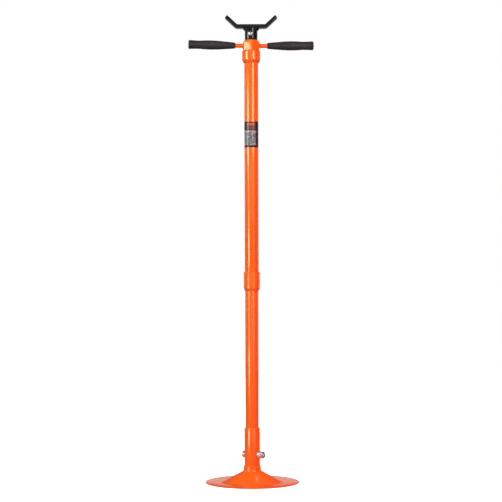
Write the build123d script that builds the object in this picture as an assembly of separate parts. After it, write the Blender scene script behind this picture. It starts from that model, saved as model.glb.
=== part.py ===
from build123d import *
import os
from math import cos, radians, sin, tan

# Under-hoist pole stand. Millimetres and degrees, +Z up, origin on the floor under the pole's axis.
# The user stands on the -Y side. At rest the screw is fully down.

# ---- Clearances
FIT_GAP = 0.05          # a fixed piece in its bore, on the radius
PLUG_GAP = 0.2          # a tube plugged into a socket, on the radius
TURN_GAP = 0.08         # the screw in its nut and bush, the saddle on its journal, on the radius
FACE_GAP = 0.3          # between faces that turn past each other
BOLT_GAP = 0.25         # a fastener in its clearance hole, on the radius

# ---- Lift screw and its stop
SCREW_D = 28
LIFT = 650
SHOULDER = 2            # step from the thread down to the journal, on the radius
KEYWAY_W = 5.4
KEYWAY_DEPTH = 2.5
STOP_COLLAR_H = 12
STOP_COLLAR_GAP = 0.5   # collar to the narrower tube, on the radius
STOP_SPIGOT_D = 18
STOP_SPIGOT_TAIL = 1.5  # spigot past the collar
STOP_PIN_D = 5
END_CHAMFER = 1

# ---- Column
BUSH_WALL = 3.37
BUSH_LENGTH = 25
BUSH_FLANGE = 3
KEY_W = 5
KEY_LENGTH = 18
KEY_DEPTH_GAP = 0.3     # key tip to the keyway's floor
UPPER_TUBE_WALL = 2.5
UPPER_TUBE_LENGTH = 651.5
TUBE_STEP = 1           # lower tube narrower than the upper one, on the radius
LOWER_TUBE_WALL = 2.5
LOWER_TUBE_LENGTH = 572
COUPLING_WALL = 2.8
COUPLING_BELOW = 27.7   # sleeve below the tubes' joint
COUPLING_ABOVE = 27.4
COUPLING_TAPER = 8
COUPLING_TOE = 0.6      # wall left at the taper's thin end
COUPLING_LIP_R = 2.4
SET_SCREW_D = 6
SET_SCREW_HEX = 3
SET_SCREW_HEX_DEPTH = 1.6
LABEL_BOTTOM = 386      # above the tubes' joint
LABEL_H = 74
LABEL_WRAP = 300
LABEL_THICK = 0.25

# ---- Bearing and its cup
BEARING_CLEAR = 1       # screw to the bearing's bore, on the radius
BEARING_RING_W = 8.5    # washer width on the radius
BEARING_H = 11
RACE_T = 3.5
TRACK_DEPTH = 0.75      # how far a ball sinks into each race
BALL_COUNT = 16
BALL_GAP = 0.12
CAGE_SIDE_GAP = 0.8     # cage to each race
CAGE_EDGE = 0.7         # cage inside the races' rims
UPPER_RACE_INSET = 0.25
CUP_WALL = 2.45
CUP_SKIRT = 21.8        # cup over the tube
CUP_TAPER = 8
CUP_CHAMFER_H = 3
CUP_CHAMFER_W = 1.6
CUP_BELOW_HUB = 0.5

# ---- Handle
HUB_WALL = 8
HUB_H = 30.8
HUB_TOP_D = 36.6
HUB_FOOT_CHAMFER = 1.2
HANDLE_TURN = 6
ARM_D = 12
ARM_RISE = 0.8
ARM_HEIGHT = 14         # arm axis above the hub's foot
ARM_SOCKET = 6
ARM_END = 172
ARM_WELD_D = 19
ARM_WELD_L = 4
GRIP_START = 46.5
GRIP_END = 181
GRIP_THROAT_WALL = 2.2
GRIP_BELLY_D = 26.4
GRIP_BELLY_FROM_END = 63
GRIP_WAIST_D = 23.8
GRIP_WAIST_FROM_END = 31
GRIP_END_D = 25.6
GRIP_END_ROUND = 3
GRIP_THROAT_TAPER = 8   # the grip's opening angle at its throat
GRIP_END_TAPER = 3

# ---- Saddle
SLEEVE_WALL = 6.17
SLEEVE_LENGTH = 33.6
SLEEVE_CHAMFER = 0.6
SADDLE_T = 9.5
SADDLE_DEPTH = 40
SADDLE_FLAT = 81
WING_LENGTH = 39
WING_ANGLE = 43
WING_BEND_R = 5
WING_EDGE_ROUND = 0.8
SADDLE_WELD_LEG = 5.7
SADDLE_WELD_DROP = 7.6
SADDLE_WELD_INSET = 0.5  # the bead stops short of the plate's front and back
SADDLE_WELD_HOLLOW = 0.48   # middle of the bead's face, in legs; 0.5 is straight
KEEPER_TURN = -4        # keeper screw off the saddle's front, about the pole
KEEPER_D = 8
KEEPER_HEAD_D = 14
KEEPER_HEAD_H = 4.4
KEEPER_FACE_D = 7       # flat on the head's crown
KEEPER_RIM_H = 0.9
KEEPER_DOME_D = 12      # the dome's diameter at its middle height
KEEPER_DOME_H = 3
KEEPER_HEX = 5
KEEPER_HEX_DEPTH = 2.6
KEEPER_Z = 17.2         # keeper screw above the sleeve's foot
KEEPER_GROOVE_DEPTH = 2.5
KEEPER_SPOT_D = 15
KEEPER_SPOT_DEPTH = 0.9 # below the sleeve's outer face

# ---- Foot
FOOT_D = 271
FOOT_WALL = 2.5
FLARE_R = 83.5          # where the flare would meet the flat rim
FLARE_ANGLE = 28.5
FLARE_BEND_R = 60
NECK_BEND_R = 8
NECK_TOP = 45.5
NECK_WELD_LEG = 2.4
NECK_WELD_CROWN = 0.68   # height of the bead's crown along 45 degrees, in legs
RIM_ROUND = 0.6
SOCKET_WALL = 3.3
SOCKET_BOTTOM = 3
SOCKET_TOP = 158
SOCKET_CHAMFER = 1.2
SOCKET_FLOOR_T = 5

# ---- Cross bolt
BOLT_Z = 80.5
BOLT_TURN = -32         # nut end, from +X about the pole
BOLT_D = 12
BOLT_LENGTH = 65
BOLT_HEX = 19
HEX_FACE = 0.96         # diameter of a head's or nut's flat face, in widths across flats
HEX_CHAMFER = 30
BOLT_HEAD_H = 7.5
NUT_H = 10.8
WASHER_D = 24
WASHER_T = 2.5
LOCK_WASHER_D = 20.5
LOCK_WASHER_T = 2.5
LOCK_WASHER_SPLIT = 1.5
LOCK_WASHER_SLANT = 25

# ---- Sizes that follow
BUSH_BORE = SCREW_D + 2 * TURN_GAP
BUSH_D = BUSH_BORE + 2 * BUSH_WALL
UPPER_BORE = BUSH_D + 2 * FIT_GAP
UPPER_TUBE_D = UPPER_BORE + 2 * UPPER_TUBE_WALL
LOWER_TUBE_D = UPPER_TUBE_D - 2 * TUBE_STEP
LOWER_BORE = LOWER_TUBE_D - 2 * LOWER_TUBE_WALL
COUPLING_D = UPPER_TUBE_D + 2 * (PLUG_GAP + COUPLING_WALL)
SOCKET_BORE = LOWER_TUBE_D + 2 * PLUG_GAP
SOCKET_D = SOCKET_BORE + 2 * SOCKET_WALL
BEARING_BORE = SCREW_D + 2 * BEARING_CLEAR
BEARING_D = BEARING_BORE + 2 * BEARING_RING_W
RACE_SPACE = BEARING_H - 2 * RACE_T
BALL_D = RACE_SPACE + 2 * TRACK_DEPTH
CAGE_T = RACE_SPACE - 2 * CAGE_SIDE_GAP
CUP_BORE = BEARING_D + 2 * FIT_GAP
CUP_D = CUP_BORE + 2 * CUP_WALL
HUB_HEX = SCREW_D + 2 * HUB_WALL
STOP_COLLAR_D = min(LOWER_BORE, UPPER_BORE) - 2 * STOP_COLLAR_GAP
JOURNAL_D = SCREW_D - 2 * SHOULDER
SLEEVE_D = JOURNAL_D + 2 * (TURN_GAP + SLEEVE_WALL)

# ---- Heights that follow, from the floor up
LOWER_TUBE_Z = SOCKET_BOTTOM + SOCKET_FLOOR_T
JOINT_Z = LOWER_TUBE_Z + LOWER_TUBE_LENGTH
TUBE_TOP_Z = JOINT_Z + UPPER_TUBE_LENGTH
RACE_Z = TUBE_TOP_Z + BUSH_FLANGE
HUB_Z = RACE_Z + BEARING_H
HUB_TOP_Z = HUB_Z + HUB_H
SHOULDER_Z = HUB_TOP_Z + FACE_GAP
SLEEVE_Z = SHOULDER_Z + FACE_GAP
SADDLE_Z = SLEEVE_Z + SLEEVE_LENGTH
BUSH_Z = RACE_Z - BUSH_LENGTH
COLLAR_TOP_Z = BUSH_Z - FACE_GAP - LIFT
COLLAR_Z = COLLAR_TOP_Z - STOP_COLLAR_H
BALL_Z = RACE_Z + BEARING_H / 2
BALL_PITCH_R = (BEARING_BORE + BEARING_D) / 4
KEEPER_AXIS_Z = SLEEVE_Z + KEEPER_Z
ARM_Z = HUB_Z + ARM_HEIGHT
KEY_MID_Z = BUSH_Z + BUSH_LENGTH / 2

CENTRE_LOW = (Align.CENTER, Align.CENTER, Align.MIN)


# ---- Shared shapes
def rod(diameter, low, high):
    """A solid cylinder on the pole's axis."""
    return Pos(0, 0, low) * Cylinder(diameter / 2, high - low, align=CENTRE_LOW)


def tube(outer_d, inner_d, low, high):
    return rod(outer_d, low, high) - rod(inner_d, low, high)


def turned(points):
    """A solid of revolution about the pole, from (radius, height) corners."""
    outline = Polyline([(r, 0, z) for r, z in points], close=True)
    return revolve(make_face(outline), Axis.Z)


def hexagon(across_flats, height):
    """A hexagonal prism standing on the origin, with two flats facing +X and -X."""
    sketch = RegularPolygon(across_flats / 2, 6, major_radius=False, rotation=30)
    return extrude(sketch, height)


def cone_frustum(low_d, high_d, height):
    return Cone(low_d / 2, high_d / 2, height, align=CENTRE_LOW)


# ---- Foot
def foot_outline(below):
    """Corners and bend radii of the foot's upper face, or of the face a wall below it."""
    slope = radians(FLARE_ANGLE)
    flat_z = FOOT_WALL - below
    flare_r = FLARE_R - below * tan(slope / 2)
    neck_r = SOCKET_D / 2 + FIT_GAP + FOOT_WALL - below
    neck_z = flat_z + (flare_r - neck_r) * tan(slope)
    corners = [(FOOT_D / 2, flat_z), (flare_r, flat_z), (neck_r, neck_z), (neck_r, NECK_TOP)]
    return [(r, 0, z) for r, z in corners], [FLARE_BEND_R + below, NECK_BEND_R + below]


def base_plate():
    upper_points, upper_bends = foot_outline(0)
    lower_points, lower_bends = foot_outline(FOOT_WALL)
    upper = FilletPolyline(upper_points, radius=upper_bends)
    lower = FilletPolyline(lower_points, radius=lower_bends)
    rim = Line(upper @ 0, lower @ 0)
    brim = Line(upper @ 1, lower @ 1)
    plate = revolve(make_face([*upper.edges(), rim, *lower.edges(), brim]), Axis.Z)
    rim_edges = plate.edges().filter_by(GeomType.CIRCLE).filter_by(lambda e: e.radius > FOOT_D / 2 - 0.01)
    return fillet(rim_edges, RIM_ROUND)


def neck_weld():
    inner = SOCKET_D / 2 + FIT_GAP
    leg = NECK_WELD_LEG
    corner = (inner, 0, NECK_TOP)
    toe = (inner + leg, 0, NECK_TOP)
    head = (inner, 0, NECK_TOP + leg)
    crown = (inner + leg * NECK_WELD_CROWN, 0, NECK_TOP + leg * NECK_WELD_CROWN)
    bead = make_face([Line(corner, toe), ThreePointArc(toe, crown, head), Line(head, corner)])
    return revolve(bead, Axis.Z)


def cross_bolt_frame(offset):
    """Local +Z along the cross bolt towards its nut, `offset` out from the pole's axis."""
    along = Rot(0, 90, 0) * Pos(0, 0, offset)
    return Pos(0, 0, BOLT_Z) * Rot(0, 0, BOLT_TURN) * along


def cross_bolt_hole():
    length = SOCKET_D + 2 * WASHER_D
    return cross_bolt_frame(0) * Cylinder(BOLT_D / 2 + BOLT_GAP, length)


def base_socket():
    body = tube(SOCKET_D, SOCKET_BORE, SOCKET_BOTTOM, SOCKET_TOP)
    mouth = body.edges().filter_by(GeomType.CIRCLE).group_by(Axis.Z)[-1].sort_by(SortBy.RADIUS)[-1]
    return chamfer(mouth, SOCKET_CHAMFER) - cross_bolt_hole()


def socket_floor():
    return rod(SOCKET_BORE - 2 * FIT_GAP, SOCKET_BOTTOM, LOWER_TUBE_Z)


def hex_with_rounded_corners(across_flats, height, both_ends):
    """A bolt head or nut blank: the corners are chamfered on the far face, or on both."""
    tip = across_flats * HEX_FACE / 2
    slope = tan(radians(HEX_CHAMFER))
    reach = across_flats
    drop = (reach - tip) * slope
    cap = turned([(0, height), (tip, height), (reach, height - drop), (reach, -reach), (0, -reach)])
    blank = hexagon(across_flats, height) & cap
    if both_ends:
        foot = turned([(0, 0), (tip, 0), (reach, drop), (reach, height + reach), (0, height + reach)])
        blank = blank & foot
    return blank


def base_bolt():
    """Head on the far side, bearing straight on the socket."""
    head = Rot(180, 0, 0) * hex_with_rounded_corners(BOLT_HEX, BOLT_HEAD_H, both_ends=False)
    shank = Cylinder(BOLT_D / 2, BOLT_LENGTH, align=CENTRE_LOW)
    shank = chamfer(shank.edges().group_by(Axis.Z)[-1], END_CHAMFER)
    return cross_bolt_frame(-SOCKET_D / 2) * (head + shank)


def washer(outer_d, thickness):
    bore = BOLT_D / 2 + FIT_GAP
    disc = Cylinder(outer_d / 2, thickness, align=CENTRE_LOW)
    return disc - Cylinder(bore, thickness, align=CENTRE_LOW)


def base_washer():
    return cross_bolt_frame(SOCKET_D / 2) * washer(WASHER_D, WASHER_T)


def base_lock_washer():
    split = Pos(LOCK_WASHER_D / 4 + BOLT_D / 4, 0, 0) * Rot(LOCK_WASHER_SLANT, 0, 0)
    gap = Box(LOCK_WASHER_D / 2, LOCK_WASHER_SPLIT, 4 * LOCK_WASHER_T)
    ring = washer(LOCK_WASHER_D, LOCK_WASHER_T) - split * gap
    return cross_bolt_frame(SOCKET_D / 2 + WASHER_T) * ring


def base_nut():
    blank = hex_with_rounded_corners(BOLT_HEX, NUT_H, both_ends=True)
    bore = Cylinder(BOLT_D / 2 + FIT_GAP, NUT_H, align=CENTRE_LOW)
    return cross_bolt_frame(SOCKET_D / 2 + WASHER_T + LOCK_WASHER_T) * (blank - bore)


# ---- Column
def lower_tube():
    return tube(LOWER_TUBE_D, LOWER_BORE, LOWER_TUBE_Z, JOINT_Z) - cross_bolt_hole()


def upper_tube():
    return tube(UPPER_TUBE_D, UPPER_BORE, JOINT_Z, TUBE_TOP_Z)


def coupling_sleeve():
    """Fixed on the lower tube, open upwards for the upper tube, which stands on the lower one."""
    low, high = JOINT_Z - COUPLING_BELOW, JOINT_Z + COUPLING_ABOVE
    lower_r = LOWER_TUBE_D / 2 + FIT_GAP
    upper_r = UPPER_TUBE_D / 2 + PLUG_GAP
    outer_r = COUPLING_D / 2
    body = turned([
        (lower_r, low),
        (lower_r + COUPLING_TOE, low),
        (outer_r, low + COUPLING_TAPER),
        (outer_r, high),
        (upper_r, high),
        (upper_r, JOINT_Z),
        (lower_r, JOINT_Z),
    ])
    lip = body.edges().filter_by(GeomType.CIRCLE).group_by(Axis.Z)[-1].sort_by(SortBy.RADIUS)[-1]
    body = fillet(lip, COUPLING_LIP_R)
    return body - coupling_screw_frame() * Cylinder(SET_SCREW_D / 2 + FIT_GAP, COUPLING_D, align=CENTRE_LOW)


def coupling_screw_frame():
    """Local +Z out of the pole's back, half way up the upper tube's share of the sleeve."""
    return Pos(0, 0, JOINT_Z + COUPLING_ABOVE / 2) * Rot(-90, 0, 0)


def coupling_set_screw():
    seat = UPPER_TUBE_D / 2
    length = COUPLING_D / 2 - seat
    body = Cylinder(SET_SCREW_D / 2, length, align=CENTRE_LOW)
    hex_hole = Pos(0, 0, length - SET_SCREW_HEX_DEPTH) * hexagon(SET_SCREW_HEX, SET_SCREW_HEX_DEPTH)
    return coupling_screw_frame() * Pos(0, 0, seat) * (body - hex_hole)


def label():
    """A film wrapped round the upper tube, open at the back."""
    low = JOINT_Z + LABEL_BOTTOM
    inner_d = UPPER_TUBE_D + FIT_GAP
    film = tube(inner_d + 2 * LABEL_THICK, inner_d, low, low + LABEL_H)
    opening = radians(360 - LABEL_WRAP) / 2
    reach = UPPER_TUBE_D
    half_w, depth = reach * sin(opening), reach * cos(opening)
    wedge = extrude(make_face(Polyline((0, 0), (half_w, depth), (-half_w, depth), close=True)), LABEL_H)
    return film - Pos(0, 0, low) * wedge


def bearing_cup():
    """The tube's flared head: a skirt on the tube and a pocket for the thrust bearing."""
    low, high = TUBE_TOP_Z - CUP_SKIRT, HUB_Z - CUP_BELOW_HUB
    skirt_r = UPPER_TUBE_D / 2 + FIT_GAP
    return turned([
        (skirt_r, low),
        (skirt_r + COUPLING_TOE, low),
        (CUP_D / 2, low + CUP_TAPER),
        (CUP_D / 2, high - CUP_CHAMFER_H),
        (CUP_D / 2 - CUP_CHAMFER_W, high),
        (CUP_BORE / 2, high),
        (CUP_BORE / 2, RACE_Z),
        (skirt_r, RACE_Z),
    ])


def key_block(width, inner_r, outer_r, length):
    """A bar on the pole's back, across the wall between the two radii."""
    depth = outer_r - inner_r
    return Pos(0, inner_r + depth / 2, KEY_MID_Z) * Box(width, depth, length)


def guide_bush():
    """Flanged bush in the upper tube's mouth; the flange stands on the tube's end."""
    bush = tube(BUSH_D, BUSH_BORE, BUSH_Z, RACE_Z)
    flange = tube(UPPER_TUBE_D, BUSH_D, TUBE_TOP_Z, RACE_Z)
    window = key_block(KEY_W + 2 * FIT_GAP, BUSH_BORE / 4, UPPER_TUBE_D / 2, KEY_LENGTH + 2 * FIT_GAP)
    return bush + flange - window


def guide_key():
    tip = SCREW_D / 2 - KEYWAY_DEPTH + KEY_DEPTH_GAP
    return key_block(KEY_W, tip, BUSH_D / 2, KEY_LENGTH) & rod(BUSH_D, BUSH_Z, RACE_Z)


# ---- Thrust bearing
def ball_track(extra):
    """The torus that the balls sweep, `extra` larger on the radius."""
    return Pos(0, 0, BALL_Z) * Torus(BALL_PITCH_R, BALL_D / 2 + extra)


def lower_race():
    return tube(BEARING_D, BEARING_BORE, RACE_Z, RACE_Z + RACE_T) - ball_track(BALL_GAP)


def upper_race():
    blank = tube(BEARING_D - 2 * UPPER_RACE_INSET, BEARING_BORE, HUB_Z - RACE_T, HUB_Z)
    return blank - ball_track(BALL_GAP)


def ball_places():
    step = 360 / BALL_COUNT
    return [Rot(0, 0, step * i) * Pos(BALL_PITCH_R, 0, BALL_Z) for i in range(BALL_COUNT)]


def bearing_cage():
    half = CAGE_T / 2
    ring = tube(BEARING_D - 2 * CAGE_EDGE, BEARING_BORE + 2 * CAGE_EDGE, BALL_Z - half, BALL_Z + half)
    pocket = Cylinder(BALL_D / 2 + BALL_GAP, 2 * CAGE_T)
    return ring - [place * pocket for place in ball_places()]


def bearing_balls():
    return Compound([place * Sphere(BALL_D / 2) for place in ball_places()])


# ---- Handle
def arm_frame(side):
    """Local +Z out along an arm that rises slightly; side is +1 to the right, -1 to the left."""
    turn = HANDLE_TURN if side > 0 else HANDLE_TURN + 180
    return Pos(0, 0, ARM_Z) * Rot(0, 0, turn) * Rot(0, 90 - ARM_RISE, 0)


def hub_nut():
    """The screw's nut: a tall hexagon with a chamfered head and a socket for each arm."""
    reach = HUB_HEX
    top_r, foot_r = HUB_TOP_D / 2, HUB_HEX / 2
    head = [(0, HUB_H), (top_r, HUB_H), (reach, HUB_H - (reach - top_r))]
    foot_drop = HUB_FOOT_CHAMFER * (reach - foot_r) / (HUB_HEX / 2 / cos(radians(30)) - foot_r)
    foot = [(reach, foot_drop), (foot_r, 0), (0, 0)]
    blank = hexagon(HUB_HEX, HUB_H) & turned(head + foot)
    hub = Pos(0, 0, HUB_Z) * Rot(0, 0, HANDLE_TURN) * blank
    hub -= rod(BUSH_BORE, HUB_Z, HUB_TOP_Z)
    socket = Pos(0, 0, HUB_HEX / 2 - ARM_SOCKET) * Cylinder(ARM_D / 2 + FIT_GAP, HUB_HEX, align=CENTRE_LOW)
    return hub - arm_frame(1) * socket - arm_frame(-1) * socket


def handle_arm(side):
    start = HUB_HEX / 2 - ARM_SOCKET
    bar = Cylinder(ARM_D / 2, ARM_END - start, align=CENTRE_LOW)
    bar = chamfer(bar.edges().group_by(Axis.Z)[-1], END_CHAMFER)
    return arm_frame(side) * Pos(0, 0, start) * bar


def arm_welds():
    """A conical fillet bead round each arm where it leaves the hub."""
    start = HUB_HEX / 2 / cos(radians(ARM_RISE)) + ARM_WELD_D / 2 * tan(radians(ARM_RISE))
    bead = cone_frustum(ARM_WELD_D, ARM_D + 2 * FIT_GAP + 1, ARM_WELD_L)
    bead -= Cylinder(ARM_D / 2 + FIT_GAP, ARM_WELD_L, align=CENTRE_LOW)
    return Compound([arm_frame(side) * Pos(0, 0, start) * bead for side in (1, -1)])


def grip(side):
    """A blind rubber sleeve: slim at the hub, fullest at the palm, flared at its end."""
    throat_r = ARM_D / 2 + GRIP_THROAT_WALL
    bore_r = ARM_D / 2 + FIT_GAP
    belly_z = GRIP_END - GRIP_BELLY_FROM_END
    waist_z = GRIP_END - GRIP_WAIST_FROM_END
    shoulder_z = GRIP_END - GRIP_END_ROUND
    end_r = GRIP_END_D / 2
    throat = (throat_r, 0, GRIP_START + GRIP_THROAT_WALL / 2)
    lip = (throat_r - GRIP_THROAT_WALL / 2, 0, GRIP_START)
    flank = Spline(
        throat,
        (GRIP_BELLY_D / 2, 0, belly_z),
        (GRIP_WAIST_D / 2, 0, waist_z),
        (end_r, 0, shoulder_z),
        tangents=[(tan(radians(GRIP_THROAT_TAPER)), 0, 1), (tan(radians(GRIP_END_TAPER)), 0, 1)],
    )
    cap_edge = (end_r - GRIP_END_ROUND, 0, GRIP_END)
    bulge = GRIP_END_ROUND * sin(radians(45))
    round_mid = (end_r - GRIP_END_ROUND + bulge, 0, shoulder_z + bulge)
    end_arc = ThreePointArc((end_r, 0, shoulder_z), round_mid, cap_edge)
    bore_end = ARM_END + FACE_GAP
    bore = [(0, 0, bore_end), (bore_r, 0, bore_end), (bore_r, 0, GRIP_START)]
    walls = Polyline(cap_edge, (0, 0, GRIP_END), *bore, lip)
    mouth = Line(lip, throat)
    profile = make_face([flank, end_arc, *walls.edges(), mouth])
    return arm_frame(side) * revolve(profile, Axis.Z)


# ---- Lift screw
def lift_screw():
    """Plain cylinders at the thread's outer size, a journal on top and a spigot at the foot."""
    thread = rod(SCREW_D, COLLAR_TOP_Z, SHOULDER_Z)
    journal = rod(JOURNAL_D, SHOULDER_Z, SADDLE_Z - FACE_GAP)
    journal = chamfer(journal.edges().group_by(Axis.Z)[-1], END_CHAMFER)
    spigot = rod(STOP_SPIGOT_D, COLLAR_Z - STOP_SPIGOT_TAIL, COLLAR_TOP_Z)
    keeper_half = KEEPER_D / 2 + TURN_GAP
    groove = tube(SCREW_D, JOURNAL_D - 2 * KEEPER_GROOVE_DEPTH,
                  KEEPER_AXIS_Z - keeper_half, KEEPER_AXIS_Z + keeper_half)
    keyway_low, keyway_high = COLLAR_TOP_Z, RACE_Z + KEY_W
    floor_r = SCREW_D / 2 - KEYWAY_DEPTH
    keyway = Box(KEYWAY_W, SCREW_D, keyway_high - keyway_low, align=(Align.CENTER, Align.MIN, Align.MIN))
    return thread + journal + spigot - groove - Pos(0, floor_r, keyway_low) * keyway - stop_pin_hole()


def stop_pin_hole():
    hole = Cylinder(STOP_PIN_D / 2 + FIT_GAP, 2 * SCREW_D)
    return Pos(0, 0, COLLAR_Z + STOP_COLLAR_H / 2) * Rot(0, 90, 0) * hole


def stop_collar():
    ring = tube(STOP_COLLAR_D, STOP_SPIGOT_D + 2 * FIT_GAP, COLLAR_Z, COLLAR_TOP_Z)
    return ring - stop_pin_hole()


def stop_pin():
    length = STOP_COLLAR_D - 2 * END_CHAMFER
    pin = chamfer(Cylinder(STOP_PIN_D / 2, length).edges(), END_CHAMFER / 2)
    return Pos(0, 0, COLLAR_Z + STOP_COLLAR_H / 2) * Rot(0, 90, 0) * pin


# ---- Saddle
def saddle_plate():
    """A flat bar bent up at both ends, its depth along Y."""
    bend = radians(WING_ANGLE)
    half = SADDLE_FLAT / 2
    seat_z = SADDLE_Z + SADDLE_T
    tip = (half + WING_LENGTH * cos(bend), seat_z + WING_LENGTH * sin(bend))
    under_half = half + SADDLE_T * tan(bend / 2)
    under_tip = (tip[0] + SADDLE_T * sin(bend), tip[1] - SADDLE_T * cos(bend))
    seat = [(-tip[0], tip[1]), (-half, seat_z), (half, seat_z), tip]
    under = [(-under_tip[0], under_tip[1]), (-under_half, SADDLE_Z), (under_half, SADDLE_Z), under_tip]
    top = FilletPolyline([(x, 0, z) for x, z in seat], radius=WING_BEND_R)
    bottom = FilletPolyline([(x, 0, z) for x, z in under], radius=WING_BEND_R + SADDLE_T)
    ends = [Line(top @ 0, bottom @ 0), Line(top @ 1, bottom @ 1)]
    section = make_face([*top.edges(), *bottom.edges(), *ends])
    plate = extrude(section, SADDLE_DEPTH / 2, dir=(0, 1, 0), both=True)
    tips = plate.edges().filter_by(Axis.Y).filter_by(lambda e: abs(e.center().X) > tip[0] - 0.01)
    return fillet(tips, WING_EDGE_ROUND)


def keeper_frame():
    """Local +Z out of the saddle's front, along the keeper screw."""
    return Pos(0, 0, KEEPER_AXIS_Z) * Rot(0, 0, KEEPER_TURN) * Rot(90, 0, 0)


def keeper_seat_r():
    """Distance from the pole's axis to the spot face under the keeper's head."""
    return SLEEVE_D / 2 - KEEPER_SPOT_DEPTH


def saddle_sleeve():
    body = tube(SLEEVE_D, JOURNAL_D + 2 * TURN_GAP, SLEEVE_Z, SADDLE_Z)
    foot_edges = body.edges().filter_by(GeomType.CIRCLE).group_by(Axis.Z)[0]
    body = chamfer(foot_edges.sort_by(SortBy.RADIUS)[-1], SLEEVE_CHAMFER)
    spot = Pos(0, 0, keeper_seat_r()) * Cylinder(KEEPER_SPOT_D / 2, SLEEVE_D, align=CENTRE_LOW)
    hole = Cylinder(KEEPER_D / 2 + FIT_GAP, SLEEVE_D, align=CENTRE_LOW)
    return body - keeper_frame() * spot - keeper_frame() * hole


def saddle_weld():
    """A heavy concave bead between the sleeve and the plate's underside."""
    inner = SLEEVE_D / 2 + FIT_GAP
    outer = inner + SADDLE_WELD_LEG
    low = SADDLE_Z - SADDLE_WELD_DROP
    hollow_r = inner + SADDLE_WELD_LEG * SADDLE_WELD_HOLLOW
    hollow = (hollow_r, 0, SADDLE_Z - SADDLE_WELD_DROP * SADDLE_WELD_HOLLOW)
    face = ThreePointArc((inner, 0, low), hollow, (outer, 0, SADDLE_Z))
    legs = Polyline((outer, 0, SADDLE_Z), (inner, 0, SADDLE_Z), (inner, 0, low))
    ring = revolve(make_face([face, *legs.edges()]), Axis.Z)
    under = Box(2 * outer, SADDLE_DEPTH - 2 * SADDLE_WELD_INSET, SADDLE_WELD_DROP, align=CENTRE_LOW)
    return ring & Pos(0, 0, low) * under


def saddle_keeper():
    """Button-head screw: its tip runs in the journal's groove and keeps the saddle on."""
    tip_r = JOURNAL_D / 2 - KEEPER_GROOVE_DEPTH + FACE_GAP
    seat = keeper_seat_r()
    shank = Pos(0, 0, tip_r) * Cylinder(KEEPER_D / 2, seat - tip_r, align=CENTRE_LOW)
    rim = (KEEPER_HEAD_D / 2, 0, KEEPER_RIM_H)
    crown = (KEEPER_FACE_D / 2, 0, KEEPER_HEAD_H)
    dome = ThreePointArc(rim, (KEEPER_DOME_D / 2, 0, KEEPER_DOME_H), crown)
    rest = Polyline(crown, (0, 0, KEEPER_HEAD_H), (0, 0, 0), (KEEPER_HEAD_D / 2, 0, 0), rim)
    head = revolve(make_face([dome, *rest.edges()]), Axis.Z)
    head -= Pos(0, 0, KEEPER_HEAD_H - KEEPER_HEX_DEPTH) * hexagon(KEEPER_HEX, KEEPER_HEX_DEPTH)
    return keeper_frame() * (shank + Pos(0, 0, seat) * head)


PIECES = {
    # stand
    "base_plate": base_plate(),
    "neck_weld": neck_weld(),
    "base_socket": base_socket(),
    "socket_floor": socket_floor(),
    "base_bolt": base_bolt(),
    "base_washer": base_washer(),
    "base_lock_washer": base_lock_washer(),
    "base_nut": base_nut(),
    "lower_tube": lower_tube(),
    "coupling_sleeve": coupling_sleeve(),
    "coupling_set_screw": coupling_set_screw(),
    "upper_tube": upper_tube(),
    "label": label(),
    "bearing_cup": bearing_cup(),
    "guide_bush": guide_bush(),
    "guide_key": guide_key(),
    "lower_race": lower_race(),
    # ball set
    "bearing_cage": bearing_cage(),
    "bearing_balls": bearing_balls(),
    # handle
    "upper_race": upper_race(),
    "hub_nut": hub_nut(),
    "handle_arm_left": handle_arm(-1),
    "handle_arm_right": handle_arm(1),
    "arm_welds": arm_welds(),
    "grip_left": grip(-1),
    "grip_right": grip(1),
    # lift
    "lift_screw": lift_screw(),
    "stop_collar": stop_collar(),
    "stop_pin": stop_pin(),
    # saddle
    "saddle_sleeve": saddle_sleeve(),
    "saddle_weld": saddle_weld(),
    "saddle_plate": saddle_plate(),
    "saddle_keeper": saddle_keeper(),
}

os.makedirs("parts", exist_ok=True)
for node, shape in PIECES.items():
    export_step(shape, f"parts/{node}.step")
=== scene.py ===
import math
import random

import bpy
from mathutils import Matrix, Vector


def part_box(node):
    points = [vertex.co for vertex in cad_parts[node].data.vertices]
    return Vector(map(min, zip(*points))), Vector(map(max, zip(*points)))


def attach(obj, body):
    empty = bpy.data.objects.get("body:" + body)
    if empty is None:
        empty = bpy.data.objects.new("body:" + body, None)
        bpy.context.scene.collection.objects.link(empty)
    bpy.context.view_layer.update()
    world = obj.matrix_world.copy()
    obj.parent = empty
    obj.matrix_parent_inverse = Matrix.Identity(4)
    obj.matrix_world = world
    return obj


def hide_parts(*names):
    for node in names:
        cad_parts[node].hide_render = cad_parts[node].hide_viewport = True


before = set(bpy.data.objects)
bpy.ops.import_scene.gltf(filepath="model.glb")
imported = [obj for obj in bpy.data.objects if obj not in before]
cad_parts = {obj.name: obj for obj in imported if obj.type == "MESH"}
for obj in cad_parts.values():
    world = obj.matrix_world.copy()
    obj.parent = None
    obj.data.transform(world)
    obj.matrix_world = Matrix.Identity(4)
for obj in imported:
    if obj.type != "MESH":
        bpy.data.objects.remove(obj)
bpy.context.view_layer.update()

# ---- Sizes of the visible parts, in millimetres. Heights are read from the frame.
MM = 0.001
ROUND_STEPS = 96
SMALL_ROUND_STEPS = 48
MERGE_DISTANCE = 0.004

FOOT_R = 135.5
FOOT_WALL = 2.5
FLARE_R = 83.5
FLARE_SLOPE = math.radians(28.5)
SOCKET_R = 22.5
SOCKET_BORE_R = 19.2

BOLT_R = 5.95
BOLT_LENGTH = 65
BOLT_FLATS = 19
BOLT_HEAD_HEIGHT = 7.5
BOLT_THREAD_START = 49
NUT_HEIGHT = 10.8
WASHER_R = 12
WASHER_THICK = 2.5
LOCK_WASHER_THICK = 2.5
BOLT_TURN = -32

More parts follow.
